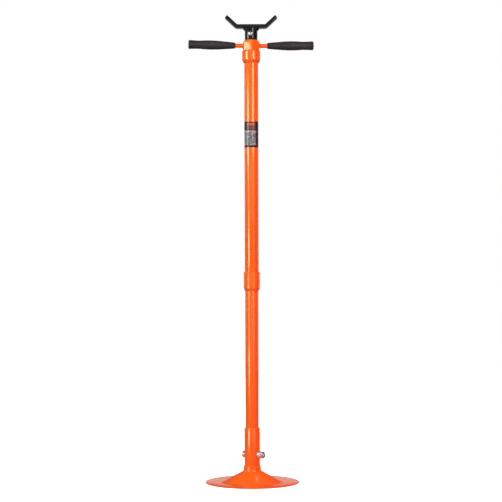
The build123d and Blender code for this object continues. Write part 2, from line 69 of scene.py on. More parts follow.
UPPER_TUBE_R = 20
UPPER_BORE_R = 17.5
LOWER_TUBE_R = 19
LOWER_BORE_R = 16.5
COUPLING_R = 23
CUP_R = 26
CUP_BORE_R = 23.55

HUB_FLATS = 44
HUB_TOP_R = 18.3
HANDLE_TURN = 6
ARM_ABOVE_HUB = 14
ARM_RISE = 0.8
ARM_R = 6
ARM_END = 172
ARM_SOCKET = 6
GRIP_START = 46.5
GRIP_END = 181

SCREW_R = 14
THREAD_DEPTH = 2.75
THREAD_PITCH = 5
JOURNAL_R = 12
KEYWAY_WIDTH = 5.4
KEYWAY_FLOOR_R = 11.5

SLEEVE_R = 18.25
SLEEVE_BORE_R = 12.08
SADDLE_THICK = 9.5
SADDLE_DEPTH = 40
SADDLE_BEND = math.radians(43)
SADDLE_BEND_R = 5
SADDLE_FLAT = 40.5
SADDLE_WING = 39
BEND_STEPS = 8
SPOT_FACE = SLEEVE_R - 0.9
KEEPER_TURN = -4


def heights(node):
    low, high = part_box(node)
    return low.z / MM, high.z / MM


foot_low, foot_high = heights("base_plate")
socket_low, socket_high = heights("base_socket")
coupling_low, coupling_high = heights("coupling_sleeve")
lower_low, joint_z = heights("lower_tube")
_, tube_top = heights("upper_tube")
cup_low, cup_high = heights("bearing_cup")
hub_low, hub_high = heights("hub_nut")
sleeve_low, sleeve_high = heights("saddle_sleeve")
collar_low, collar_high = heights("stop_collar")
race_low, _ = heights("lower_race")
bolt_z = sum(heights("base_bolt")) / 2
keeper_z = sum(heights("saddle_keeper")) / 2
arm_z = hub_low + ARM_ABOVE_HUB
seat_z = sleeve_high + SADDLE_THICK


# ---- Frames for what is turned or tilted
def turned_frame(height, turn, tilt_axis, tilt):
    """A frame on the pole at a height, turned about the pole, its own +Z tilted over."""
    turned = Matrix.Translation((0, 0, height * MM)) @ Matrix.Rotation(math.radians(turn), 4, "Z")
    return turned @ Matrix.Rotation(math.radians(tilt), 4, tilt_axis)


BOLT_AXIS = turned_frame(bolt_z, BOLT_TURN, "Y", 90)
KEEPER_AXIS = turned_frame(keeper_z, KEEPER_TURN, "X", 90)
ARM_AXES = {
    "right": turned_frame(arm_z, HANDLE_TURN, "Y", 90 - ARM_RISE),
    "left": turned_frame(arm_z, HANDLE_TURN + 180, "Y", 90 - ARM_RISE),
}


# ---- Working with pieces
def clear_selection():
    if bpy.context.object and bpy.context.object.mode != "OBJECT":
        bpy.ops.object.mode_set(mode="OBJECT")
    bpy.ops.object.select_all(action="DESELECT")


def pick(*pieces):
    clear_selection()
    for piece in pieces:
        piece.select_set(True)
    bpy.context.view_layer.objects.active = pieces[0]


def into_edit():
    """Into edit mode, with every vertex selected."""
    bpy.ops.object.mode_set(mode="EDIT")
    bpy.ops.mesh.select_mode(type="VERT")
    bpy.ops.mesh.select_all(action="SELECT")


def out_of_edit():
    bpy.ops.object.mode_set(mode="OBJECT")


def settle(piece, frame_matrix=None):
    """Moves the piece to its frame and puts its place into its mesh."""
    pick(piece)
    if frame_matrix is not None:
        piece.matrix_world = frame_matrix @ piece.matrix_world
    bpy.ops.object.transform_apply(location=True, rotation=True, scale=True)
    return piece


def close_seams(piece):
    """Merges doubled points and turns the faces outwards."""
    pick(piece)
    into_edit()
    bpy.ops.mesh.remove_doubles(threshold=MERGE_DISTANCE * MM)
    bpy.ops.mesh.normals_make_consistent(inside=False)
    out_of_edit()


def smooth(piece, angle=32):
    pick(piece)
    bpy.ops.object.shade_smooth_by_angle(angle=math.radians(angle))


def finish_with(piece, kind, **settings):
    """Adds a modifier, sets it and applies it."""
    pick(piece)
    step = piece.modifiers.new(kind.lower(), kind)
    for setting, value in settings.items():
        setattr(step, setting, value)
    bpy.ops.object.modifier_apply(modifier=step.name)


def round_edges(piece, width, steps=3, angle=30):
    finish_with(piece, "BEVEL", width=width * MM, segments=steps, limit_method="ANGLE",
                angle_limit=math.radians(angle), miter_outer="MITER_ARC")


def cut(piece, tool, operation="DIFFERENCE"):
    finish_with(piece, "BOOLEAN", operation=operation, object=tool, solver="EXACT")
    bpy.data.objects.remove(tool, do_unlink=True)


def copy_of(piece, name):
    """A copy with its own mesh."""
    twin = piece.copy()
    twin.data = piece.data.copy()
    twin.name = name
    bpy.context.scene.collection.objects.link(twin)
    return twin


def join(pieces, name):
    pick(*pieces)
    bpy.ops.object.join()
    whole = bpy.context.object
    whole.name = name
    return whole


def softened(corners, radii, steps=7):
    """An outline with its inner corners rounded; radii has one entry for each inner corner."""
    points = [corners[0]]
    for before, corner, after, radius in zip(corners, corners[1:], corners[2:], radii):
        here = Vector(corner)
        back, ahead = (Vector(before) - here).normalized(), (Vector(after) - here).normalized()
        half = back.angle(ahead) / 2
        if not radius or half > math.radians(89.5):
            points.append(corner)
            continue
        centre = here + (back + ahead).normalized() * radius / math.sin(half)
        reach = radius / math.tan(half)
        start, end = here + back * reach - centre, here + ahead * reach - centre
        for i in range(steps + 1):
            points.append(tuple(centre + start.slerp(end, i / steps).normalized() * radius))
    return points + [corners[-1]]


def flowing(stations, steps=6):
    """A smooth line through stations of (radius, height)."""
    ends = [stations[0], *stations, stations[-1]]
    points = []
    for a, b, c, d in zip(ends, ends[1:], ends[2:], ends[3:]):
        a, b, c, d = map(Vector, (a, b, c, d))
        for i in range(steps):
            t = i / steps
            point = b * 2 + (c - a) * t + (a * 2 - b * 5 + c * 4 - d) * t ** 2 + (b * 3 - a - c * 3 + d) * t ** 3
            points.append(tuple(point / 2))
    return points + [stations[-1]]


def lathe(name, outline, solid=False, steps=ROUND_STEPS):
    """A ring, extruded and resized from corner to corner of an outline of (radius, height).
    A solid has its first and last ring filled; otherwise the outline comes back to its start."""
    clear_selection()
    radius, height = outline[0]
    bpy.ops.mesh.primitive_circle_add(vertices=steps, radius=radius * MM, location=(0, 0, height * MM),
                                      fill_type="NGON" if solid else "NOTHING")
    piece = bpy.context.object
    piece.name = name
    into_edit()
    for next_radius, next_height in outline[1:] + ([] if solid else outline[:1]):
        shift = {"value": (0, 0, (next_height - height) * MM)}
        if solid:
            bpy.ops.mesh.extrude_region_move(TRANSFORM_OT_translate=shift)
        else:
            bpy.ops.mesh.extrude_edges_move(TRANSFORM_OT_translate=shift)
        grow = next_radius / radius
        bpy.ops.transform.resize(value=(grow, grow, 1), center_override=(0, 0, next_height * MM))
        radius, height = next_radius, next_height
    out_of_edit()
    settle(piece)
    close_seams(piece)
    return piece


def tube_piece(name, outer, bore, low, high, edge):
    piece = lathe(name, [(bore, low), (outer, low), (outer, high), (bore, high)])
    round_edges(piece, edge)
    smooth(piece)
    return piece


def hexagon_piece(name, flats, low, high):
    clear_selection()
    bpy.ops.mesh.primitive_cylinder_add(vertices=6, radius=flats / math.sqrt(3) * MM,
                                        depth=(high - low) * MM, location=(0, 0, (low + high) / 2 * MM))
    piece = bpy.context.object
    piece.name = name
    return settle(piece)


def wire(name, points):
    """A plane merged to one point, drawn out from point to point of (radius, height)."""
    clear_selection()
    radius, height = points[0]
    bpy.ops.mesh.primitive_plane_add(size=MM, location=(radius * MM, 0, height * MM))
    piece = bpy.context.object
    piece.name = name
    into_edit()
    bpy.ops.mesh.merge(type="CENTER")
    for next_radius, next_height in points[1:]:
        step = ((next_radius - radius) * MM, 0, (next_height - height) * MM)
        bpy.ops.mesh.extrude_vertices_move(TRANSFORM_OT_translate={"value": step})
        radius, height = next_radius, next_height
    out_of_edit()
    return settle(piece)


def threaded_rod(name, outer, depth, pitch, low, high, steps=32):
    """One pitch of a trapezoidal thread wound up the rod, then trimmed flat and closed at both ends."""
    root = outer - depth
    profile = [(root, 0), (root, 0.30), (outer, 0.42), (outer, 0.86), (root, 1.0)]
    first = low - 2 * pitch
    rod = wire(name, [(radius, first + share * pitch) for radius, share in profile])
    turns = int((high - low) / pitch) + 4
    finish_with(rod, "SCREW", angle=math.tau, screw_offset=pitch * MM, iterations=turns, steps=steps,
                render_steps=steps, axis="Z", use_merge_vertices=True, merge_threshold=0.002 * MM,
                use_normal_calculate=True)
    pick(rod)
    into_edit()
    bpy.ops.mesh.remove_doubles(threshold=MERGE_DISTANCE * MM)
    bpy.ops.mesh.bisect(plane_co=(0, 0, low * MM), plane_no=(0, 0, 1), use_fill=True, clear_inner=True)
    bpy.ops.mesh.select_all(action="SELECT")
    bpy.ops.mesh.bisect(plane_co=(0, 0, high * MM), plane_no=(0, 0, 1), use_fill=True, clear_outer=True)
    bpy.ops.mesh.select_all(action="SELECT")
    bpy.ops.mesh.normals_make_consistent(inside=False)
    out_of_edit()
    return rod


def weld_run(name, places, width, voxel=0.3):
    """A weld bead: one ripple, its copies overlapped along the joint and grown into one skin."""
    clear_selection()
    bpy.ops.mesh.primitive_uv_sphere_add(segments=18, ring_count=10, radius=width * MM / 2)
    ripple = bpy.context.object
    into_edit()
    bpy.ops.transform.resize(value=(1, 0.62, 0.8), center_override=(0, 0, 0))
    out_of_edit()
    copies = []
    for i, place in enumerate(places):
        copy = copy_of(ripple, f"{name}_{i}")
        copy.matrix_world = place
        copies.append(copy)
    bpy.data.objects.remove(ripple, do_unlink=True)
    bead = join(copies, name)
    settle(bead)
    finish_with(bead, "REMESH", mode="VOXEL", voxel_size=voxel * MM, use_smooth_shade=True)
    finish_with(bead, "SMOOTH", factor=0.5, iterations=3)
    smooth(bead, 60)
    return bead


def ring_places(radius, height, count, lean, base=Matrix.Identity(4), half_width=math.inf):
    """Places round a joint; lean tilts each ripple up from lying flat, and those whose Y is
    beyond the half width are left out."""
    dice = random.Random(count)
    places = []
    for i in range(count):
        angle = math.tau * (i + dice.uniform(-0.16, 0.16)) / count
        if abs(radius * math.sin(angle)) > half_width:
            continue
        out = Matrix.Rotation(angle, 4, "Z") @ Matrix.Translation((radius * MM, 0, height * MM))
        leaning = Matrix.Rotation(math.radians(lean), 4, "Y")
        places.append(base @ out @ leaning @ Matrix.Scale(dice.uniform(0.95, 1.05), 4))
    return places


def give(piece, body, finish, slot, *nodes):
    """The piece's finish, the body it moves with, and the frame nodes it stands for."""
    piece.data.materials.clear()
    piece.data.materials.append(finish)
    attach(piece, body)
    if nodes:
        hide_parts(*nodes)


# ---- Effects shared by the finishes
def new_group(name, inputs, outputs):
    group = bpy.data.node_groups.new(name, "ShaderNodeTree")
    for label, kind, value in inputs:
        socket = group.interface.new_socket(label, in_out="INPUT", socket_type=kind)
        socket.default_value = value
    for label, kind in outputs:
        group.interface.new_socket(label, in_out="OUTPUT", socket_type=kind)
    return group, group.nodes.new("NodeGroupInput"), group.nodes.new("NodeGroupOutput")


class Wiring:
    """Short calls for adding nodes to one tree."""

    def __init__(self, tree):
        self.tree = tree

    def add(self, kind, inputs=None, **settings):
        node = self.tree.nodes.new(kind)
        for setting, value in settings.items():
            setattr(node, setting, value)
        for key, value in (inputs or {}).items():
            self.feed(node.inputs[key], value)
        return node

    def feed(self, socket, value):
        if isinstance(value, bpy.types.NodeSocket):
            self.tree.links.new(value, socket)
        else:
            socket.default_value = value

    def math(self, operation, *values, clamp=False):
        node = self.add("ShaderNodeMath", dict(enumerate(values)), operation=operation, use_clamp=clamp)
        return node.outputs[0]

    def blend(self, factor, first, second):
        node = self.add("ShaderNodeMix", data_type="RGBA")
        self.feed(node.inputs[0], factor)
        self.feed(node.inputs[6], first)
        self.feed(node.inputs[7], second)
        return node.outputs[2]

    def spread(self, value, low, high, to_low=0.0, to_high=1.0, steps="LINEAR"):
        names = {"Value": value, "From Min": low, "From Max": high, "To Min": to_low, "To Max": to_high}
        return self.add("ShaderNodeMapRange", names, interpolation_type=steps).outputs[0]

    def noise(self, vector, scale, detail=3.0, roughness=0.5):
        names = {"Vector": vector, "Scale": scale, "Detail": detail, "Roughness": roughness}
        return self.add("ShaderNodeTexNoise", names).outputs["Fac"]


def paint_skin_group():
    """The skin of a sprayed and baked coat: orange peel, soft clouds of tone and fine handling marks."""
    group, given, result = new_group("paint_skin", [
        ("Position", "NodeSocketVector", (0, 0, 0)),
        ("Colour", "NodeSocketColor", (1, 0.1, 0, 1)),
        ("Thin Colour", "NodeSocketColor", (1, 0.2, 0, 1)),
        ("Gloss Roughness", "NodeSocketFloat", 0.2),
        ("Peel Size", "NodeSocketFloat", 420.0),
        ("Marks", "NodeSocketFloat", 0.3),
    ], [("Colour", "NodeSocketColor"), ("Roughness", "NodeSocketFloat"), ("Height", "NodeSocketFloat")])
    w = Wiring(group)
    place = given.outputs["Position"]
    clouds = w.noise(place, 14.0, 3.0, 0.55)
    tone = w.spread(clouds, 0.35, 0.7)
    colour = w.blend(w.math("MULTIPLY", tone, 0.35), given.outputs["Colour"], given.outputs["Thin Colour"])
    stretched = w.add("ShaderNodeMapping", {"Vector": place, "Scale": (1.0, 1.0, 0.14)}).outputs[0]
    scuffs = w.spread(w.noise(stretched, 900.0, 2.0, 0.7), 0.62, 0.78)
    patches = w.spread(w.noise(place, 22.0, 2.0, 0.5), 0.52, 0.66)
    marks = w.math("MULTIPLY", w.math("MULTIPLY", scuffs, patches), given.outputs["Marks"])
    rough = w.math("ADD", given.outputs["Gloss Roughness"], w.math("MULTIPLY", marks, 0.35))
    rough = w.math("ADD", rough, w.math("MULTIPLY", w.math("SUBTRACT", clouds, 0.5), 0.06), clamp=True)
    peel = w.noise(place, given.outputs["Peel Size"], 1.5, 0.4)
    w.feed(result.inputs["Colour"], colour)
    w.feed(result.inputs["Roughness"], rough)
    w.feed(result.inputs["Height"], peel)
    return group


def edge_band_group():
    """A mask along a height on the piece: 1 at the line, 0 a width away, broken up by grain."""
    group, given, result = new_group("edge_band", [
        ("Position", "NodeSocketVector", (0, 0, 0)),
        ("Height", "NodeSocketFloat", 0.0),
        ("Width", "NodeSocketFloat", 0.002),
        ("Grain", "NodeSocketFloat", 500.0),
    ], [("Mask", "NodeSocketFloat")])
    w = Wiring(group)
    z = w.add("ShaderNodeSeparateXYZ", {0: given.outputs["Position"]}).outputs[2]
    away = w.math("ABSOLUTE", w.math("SUBTRACT", z, given.outputs["Height"]))
    near = w.math("SUBTRACT", 1.0, w.math("DIVIDE", away, given.outputs["Width"]), clamp=True)
    grain = w.noise(given.outputs["Position"], given.outputs["Grain"], 4.0, 0.6)
    mask = w.spread(w.math("ADD", near, w.math("SUBTRACT", grain, 0.5)), 0.45, 0.75, steps="SMOOTHSTEP")
    w.feed(result.inputs["Mask"], mask)
    return group


def metal_grain_group():
    """Fine grain of a plated or machined surface: a little colour drift, roughness and height."""
    group, given, result = new_group("metal_grain", [
        ("Position", "NodeSocketVector", (0, 0, 0)),
        ("Colour", "NodeSocketColor", (0.7, 0.7, 0.7, 1)),
        ("Tarnish", "NodeSocketColor", (0.5, 0.45, 0.35, 1)),
        ("Roughness", "NodeSocketFloat", 0.25),
        ("Grain", "NodeSocketFloat", 700.0),
    ], [("Colour", "NodeSocketColor"), ("Roughness", "NodeSocketFloat"), ("Height", "NodeSocketFloat")])
    w = Wiring(group)
    place = given.outputs["Position"]
    drift = w.spread(w.noise(place, 160.0, 4.0, 0.6), 0.4, 0.75)
    grain = w.noise(place, given.outputs["Grain"], 3.0, 0.65)
    w.feed(result.inputs["Colour"],
           w.blend(w.math("MULTIPLY", drift, 0.45), given.outputs["Colour"], given.outputs["Tarnish"]))
    w.feed(result.inputs["Roughness"],
           w.math("ADD", given.outputs["Roughness"], w.math("MULTIPLY", grain, 0.16), clamp=True))
    w.feed(result.inputs["Height"], grain)
    return group


PAINT_SKIN = paint_skin_group()
EDGE_BAND = edge_band_group()
METAL_GRAIN = metal_grain_group()


# ---- Finishes
def new_finish(name, **sockets):
    """A material, its short wiring calls, its shader and the piece's own coordinates."""
    finish = bpy.data.materials.new(name)
    finish.use_nodes = True
    w = Wiring(finish.node_tree)
    shader = finish.node_tree.nodes["Principled BSDF"]
    for label, value in sockets.items():
        shader.inputs[label.replace("_", " ")].default_value = value
    place = w.add("ShaderNodeTexCoord").outputs["Object"]
    return finish, w, shader, place


def use_group(w, group, **inputs):
    node = w.add("ShaderNodeGroup", node_tree=group)
    for label, value in inputs.items():
        w.feed(node.inputs[label.replace("_", " ")], value)
    return node


def bump(w, shader, height, strength, distance):
    node = w.add("ShaderNodeBump", {"Height": height, "Strength": strength, "Distance": distance})
    w.feed(shader.inputs["Normal"], node.outputs[0])


# Darker brownish grey, blended along an edge as painted shade.
EDGE_SHADE_COLOUR = (0.16, 0.13, 0.12, 1)


def paint(name, colour, thin, roughness, coat, coat_roughness=0.08, gloss=0.15,
          gloss_tint=(1, 1, 1, 1), marks=0.3, shaded_edge_heights=()):
    """A baked coat, with painted shade: a darker brownish band along an edge at each height listed, in
    millimetres.
    """
    finish, w, shader, place = new_finish(name, Coat_Weight=coat, Coat_Roughness=coat_roughness,
                                           Specular_IOR_Level=gloss, Specular_Tint=gloss_tint)
    skin = use_group(w, PAINT_SKIN, Position=place, Colour=colour, Thin_Colour=thin,
                     Gloss_Roughness=roughness, Marks=marks)
    tone, rough = skin.outputs["Colour"], skin.outputs["Roughness"]
    # Painted shade: a darker brownish band along each listed edge height, broken up by grain.
    for height in shaded_edge_heights:
        edge_shade = use_group(w, EDGE_BAND, Position=place, Height=height * MM, Width=0.0012).outputs["Mask"]
        tone = w.blend(w.math("MULTIPLY", edge_shade, 0.45), tone, EDGE_SHADE_COLOUR)
        rough = w.math("ADD", rough, w.math("MULTIPLY", edge_shade, 0.2), clamp=True)
    w.feed(shader.inputs["Base Color"], tone)
    w.feed(shader.inputs["Roughness"], rough)
    bump(w, shader, skin.outputs["Height"], 0.4, 0.000012)
    return finish


def plated(name, colour, tarnish, roughness, grain=700.0, strength=0.3):
    finish, w, shader, place = new_finish(name, Metallic=1.0)
    skin = use_group(w, METAL_GRAIN, Position=place, Colour=colour, Tarnish=tarnish,
                     Roughness=roughness, Grain=grain)
    w.feed(shader.inputs["Base Color"], skin.outputs["Colour"])
    w.feed(shader.inputs["Roughness"], skin.outputs["Roughness"])
    bump(w, shader, skin.outputs["Height"], strength, 0.00004)
    return finish


def oiled_thread_finish():
    """Rolled steel, bright on the crests and darker brown towards the roots."""
    finish, w, shader, place = new_finish("oiled_thread", Metallic=1.0, Coat_Weight=0.35,
                                           Coat_Roughness=0.12)
    # A darker brown, blended in towards the thread roots by distance from the axis.
    root_tone = (0.045, 0.036, 0.028, 1)
    root_r, crest_r = SCREW_R - THREAD_DEPTH + 0.4, SCREW_R - 0.5
    skin = use_group(w, METAL_GRAIN, Position=place, Colour=(0.46, 0.46, 0.47, 1),
                     Tarnish=(0.22, 0.20, 0.18, 1), Roughness=0.24, Grain=900.0)
    x, y, _ = w.add("ShaderNodeSeparateXYZ", {0: place}).outputs
    radius = w.math("SQRT", w.math("ADD", w.math("MULTIPLY", x, x), w.math("MULTIPLY", y, y)))
    smear = w.math("MULTIPLY", w.math("SUBTRACT", w.noise(place, 300.0), 0.5), 0.0016)
    clean = w.spread(w.math("ADD", radius, smear), root_r * MM, crest_r * MM)
    w.feed(shader.inputs["Base Color"], w.blend(clean, root_tone, skin.outputs["Colour"]))
    dulled = w.math("MULTIPLY", w.math("SUBTRACT", 1.0, clean), 0.22)
    w.feed(shader.inputs["Roughness"], w.math("ADD", skin.outputs["Roughness"], dulled))
    bump(w, shader, skin.outputs["Height"], 0.4, 0.00005)
    return finish


def moulded_rubber():
    """Satin rubber with a fine moulded grain, a little greyer where hands polish it."""
    finish, w, shader, place = new_finish("moulded_rubber", Specular_IOR_Level=0.3)
    grain = w.noise(place, 1500.0, 4.0, 0.7)
    pores = w.add("ShaderNodeTexVoronoi", {"Vector": place, "Scale": 1300.0}).outputs["Distance"]
    handled = w.spread(w.noise(place, 30.0, 3.0, 0.5), 0.35, 0.7)
    w.feed(shader.inputs["Base Color"],
           w.blend(handled, (0.019, 0.017, 0.020, 1), (0.026, 0.024, 0.027, 1)))
    dull = w.math("ADD", grain, w.math("MULTIPLY", handled, -0.4))
    w.feed(shader.inputs["Roughness"], w.spread(dull, -0.1, 0.7, 0.42, 0.66))
    bump(w, shader, w.math("ADD", grain, w.math("MULTIPLY", pores, 0.8)), 0.35, 0.00004)
    return finish


def label_finish():
    """A wrapped film: a black ground with a red patch, a pale panel of broken rules, a dark side
    with two blocks, and a seam at the back. No lettering."""
    finish, w, shader, place = new_finish("label_film", Coat_Weight=0.25, Coat_Roughness=0.12,
                                           Specular_IOR_Level=0.2)
    low, high = heights("label")
    x, y, z = w.add("ShaderNodeSeparateXYZ", {0: place}).outputs
    up = w.spread(z, low * MM, high * MM)
    across = w.math("ARCTAN2", x, w.math("MULTIPLY", y, -1.0))

    def band(value, start, end):
        return w.math("MULTIPLY", w.math("GREATER_THAN", value, start), w.math("LESS_THAN", value, end))

    def patch(bottom, top, left, right):
        """A mask: heights as a share of the film's, sides as turns from the front in radians."""
        return w.math("MULTIPLY", band(up, bottom, top), band(across, left, right))

    ground, ink, pale = (0.010, 0.008, 0.008, 1), (0.018, 0.018, 0.019, 1), (0.28, 0.28, 0.283, 1)
    colour = w.blend(band(up, 0.085, 0.655), ground, pale)
    colour = w.blend(patch(0.69, 0.95, -0.75, 0.62), colour, (0.14, 0.036, 0.026, 1))
    colour = w.blend(patch(0.86, 0.95, -0.7, 0.55), colour, (0.40, 0.10, 0.06, 1))
    colour = w.blend(patch(0.085, 0.655, 0.66, 1.7), colour, (0.045, 0.045, 0.047, 1))

    line = w.math("MULTIPLY", up, 30.0)
    dash = w.math("FLOOR", w.math("MULTIPLY", across, 12.0))
    cell = w.add("ShaderNodeCombineXYZ", {0: w.math("MULTIPLY", dash, 0.2),
                                          2: w.math("MULTIPLY", w.math("FLOOR", line), 0.3)}).outputs[0]
    dashes = w.math("GREATER_THAN", w.noise(cell, 1.5, 2.0), 0.485)
    rules = w.math("MULTIPLY", w.math("LESS_THAN", w.math("FRACT", line), 0.7), dashes)
    colour = w.blend(w.math("MULTIPLY", rules, patch(0.10, 0.60, -1.4, 1.5)), colour, ink)
    for bottom, top in ((0.44, 0.55), (0.12, 0.34)):
        colour = w.blend(patch(bottom, top, 0.72, 1.12), colour, (0.010, 0.010, 0.011, 1))
    seam = w.math("GREATER_THAN", w.math("ABSOLUTE", across), 2.5)
    colour = w.blend(seam, colour, (0.016, 0.012, 0.011, 1))

    grain = w.noise(place, 500.0, 4.0, 0.6)
    dusty = w.spread(grain, 0.3, 0.8, 0.0, 0.12)
    w.feed(shader.inputs["Base Color"], w.blend(dusty, colour, (0.2, 0.2, 0.2, 1)))
    w.feed(shader.inputs["Roughness"], w.spread(grain, 0.2, 0.8, 0.28, 0.42))
    bump(w, shader, grain, 0.2, 0.00003)
    return finish


ORANGE = (0.88, 0.108, 0.006, 1)
ORANGE_THIN = (0.92, 0.126, 0.008, 1)
BLACK = (0.006, 0.005, 0.006, 1)
BLACK_THIN = (0.010, 0.009, 0.010, 1)
SATIN = {"roughness": 0.2, "coat": 0.35, "coat_roughness": 0.06, "gloss": 0.9,
         "gloss_tint": (1, 0.86, 0.42, 1)}
orange = paint("orange_powder_coat", ORANGE, ORANGE_THIN, **SATIN)
# The foot's bottom edge gets a band of painted shade.
orange_foot = paint("orange_powder_coat_foot", ORANGE, ORANGE_THIN, shaded_edge_heights=(foot_low + 1.2,), **SATIN)
black = paint("black_enamel", BLACK, BLACK_THIN, 0.24, coat=0.55, marks=0.5)
black_saddle = paint("black_enamel_saddle", BLACK, BLACK_THIN, 0.26, coat=0.5, marks=0.9)
zinc = plated("bright_zinc", (0.88, 0.88, 0.87, 1), (0.72, 0.70, 0.66, 1), 0.28, strength=0.15)
bearing_steel = plated("bearing_steel", (0.20, 0.195, 0.19, 1), (0.12, 0.10, 0.07, 1), 0.26, 1200.0, 0.15)
dark_steel = plated("black_oxide_steel", (0.17, 0.17, 0.18, 1), (0.10, 0.09, 0.085, 1), 0.34)
bronze = plated("oiled_bronze", (0.55, 0.32, 0.13, 1), (0.30, 0.17, 0.08, 1), 0.26)
cage_brass = plated("stamped_brass", (0.66, 0.47, 0.18, 1), (0.42, 0.29, 0.12, 1), 0.24)
oiled_thread = oiled_thread_finish()
rubber = moulded_rubber()
label_film = label_finish()


# ---- Foot
def foot_plate():
    """The pressed foot: flat rim, flare and upright neck, one wall thick."""
    climb = math.tan(FLARE_SLOPE)
    neck_bore = SOCKET_R + 0.05
    neck = neck_bore + FOOT_WALL
    under_flare = FLARE_R - math.tan(FLARE_SLOPE / 2) * FOOT_WALL
    upper = [(FOOT_R, FOOT_WALL), (FLARE_R, FOOT_WALL),
             (neck, FOOT_WALL + (FLARE_R - neck) * climb), (neck, foot_high)]
    lower = [(neck_bore, foot_high), (neck_bore, (under_flare - neck_bore) * climb),
             (under_flare, 0), (FOOT_R, 0)]
    outline = softened(upper, (60, 8), 12) + softened(lower, (10.5, 62.5), 12)
    foot = lathe("foot_plate", outline, steps=160)
    round_edges(foot, 0.8, 3, 50)
    smooth(foot)
    give(foot, "stand", orange_foot, "orange_paint", "base_plate")


def foot_weld():
    bead = weld_run("neck_weld_bead", ring_places(SOCKET_R + 1.0, foot_high + 0.7, 58, 45), 4.4)
    give(bead, "stand", orange, "orange_paint", "neck_weld")


def socket_tube():
    socket = tube_piece("socket_tube", SOCKET_R, SOCKET_BORE_R, socket_low, socket_high, 1.2)
    hole_r = BOLT_R + 0.3
    hole = lathe("bolt_hole", [(hole_r, -60), (hole_r, 60)], solid=True, steps=SMALL_ROUND_STEPS)
    settle(hole, BOLT_AXIS)
    cut(socket, hole)
    smooth(socket)
    give(socket, "stand", orange, "orange_paint", "base_socket")


def chamfered_hexagon(name, flats, low, high, both_ends, bore=0):
    """A bolt head or nut: a hexagon whose corners are turned off at one end or both."""
    blank = hexagon_piece(name, flats, low, high)
    tip, reach = flats * 0.48, flats * 0.62
    fall = (reach - tip) * math.tan(math.radians(30))
    start = [(tip, low), (reach, low + fall)] if both_ends else [(reach, low - 1)]
    cut(blank, lathe("turning", start + [(reach, high - fall), (tip, high)], solid=True), "INTERSECT")
    if bore:
        drill = lathe("bore", [(bore, low - 1), (bore, high + 1)], solid=True, steps=SMALL_ROUND_STEPS)
        cut(blank, drill)
    close_seams(blank)
    round_edges(blank, 0.25, 2, 25)
    close_seams(blank)
    smooth(blank)
    return blank


def cross_bolt():
    head = chamfered_hexagon("bolt_head", BOLT_FLATS, 0, BOLT_HEAD_HEIGHT, False)
    settle(head, Matrix.Rotation(math.pi, 4, "X"))
    shank = lathe("bolt_shank", [(BOLT_R, -0.5), (BOLT_R, BOLT_THREAD_START)], solid=True,
                  steps=SMALL_ROUND_STEPS)
    thread = threaded_rod("bolt_thread", BOLT_R, 0.9, 1.75, BOLT_THREAD_START - 0.5, BOLT_LENGTH - 1, 40)
    point = lathe("bolt_point", [(5.1, BOLT_LENGTH - 1.4), (5.1, BOLT_LENGTH - 0.7), (4.4, BOLT_LENGTH)],
                  solid=True, steps=SMALL_ROUND_STEPS)
    bolt = join([head, shank, thread, point], "cross_bolt")
    settle(bolt, BOLT_AXIS @ Matrix.Translation((0, 0, -SOCKET_R * MM)))
    smooth(bolt, 30)
    give(bolt, "stand", zinc, "bright_zinc", "base_bolt")

    washer = tube_piece("bolt_washer", WASHER_R, BOLT_R + 0.25, 0, WASHER_THICK, 0.3)
    settle(washer, BOLT_AXIS @ Matrix.Translation((0, 0, SOCKET_R * MM)))
    give(washer, "stand", zinc, "bright_zinc", "base_washer")

    nut = chamfered_hexagon("bolt_nut", BOLT_FLATS, 0, NUT_HEIGHT, True, bore=BOLT_R + 0.1)
    nut_seat = SOCKET_R + WASHER_THICK + LOCK_WASHER_THICK
    settle(nut, BOLT_AXIS @ Matrix.Translation((0, 0, nut_seat * MM)))
    give(nut, "stand", zinc, "bright_zinc", "base_nut")


# ---- Column
def column():
    lower = tube_piece("lower_column_tube", LOWER_TUBE_R, LOWER_BORE_R, lower_low, joint_z, 0.4)
    give(lower, "stand", orange, "orange_paint", "lower_tube")
    upper = tube_piece("upper_column_tube", UPPER_TUBE_R, UPPER_BORE_R, joint_z, tube_top, 0.4)
    give(upper, "stand", orange, "orange_paint", "upper_tube")

    over_upper, over_lower = UPPER_TUBE_R + 0.2, LOWER_TUBE_R + 0.05
    shell = [(over_upper, joint_z), (over_lower, joint_z), (over_lower, coupling_low),
             (LOWER_TUBE_R + 0.7, coupling_low), (COUPLING_R, coupling_low + 8), (COUPLING_R, coupling_high),
             (over_upper, coupling_high), (over_upper, joint_z + 1)]
    coupling = lathe("column_coupling", softened(shell, (0, 0, 0.5, 4, 2.4, 0.2)))
    smooth(coupling, 40)
    give(coupling, "stand", orange, "orange_paint", "coupling_sleeve")

    skirt = UPPER_TUBE_R + 0.05
    bowl = [(CUP_BORE_R, race_low), (skirt, race_low), (skirt, cup_low), (skirt + 0.7, cup_low),
            (CUP_R, cup_low + 8), (CUP_R, cup_high - 3), (CUP_R - 1.6, cup_high), (CUP_BORE_R, cup_high),
            (CUP_BORE_R, race_low + 1)]
    cup = lathe("bearing_cup_turned", softened(bowl, (0, 0, 0.5, 4, 2.5, 0.6, 0.3)))
    smooth(cup, 40)
    give(cup, "stand", orange, "orange_paint", "bearing_cup")


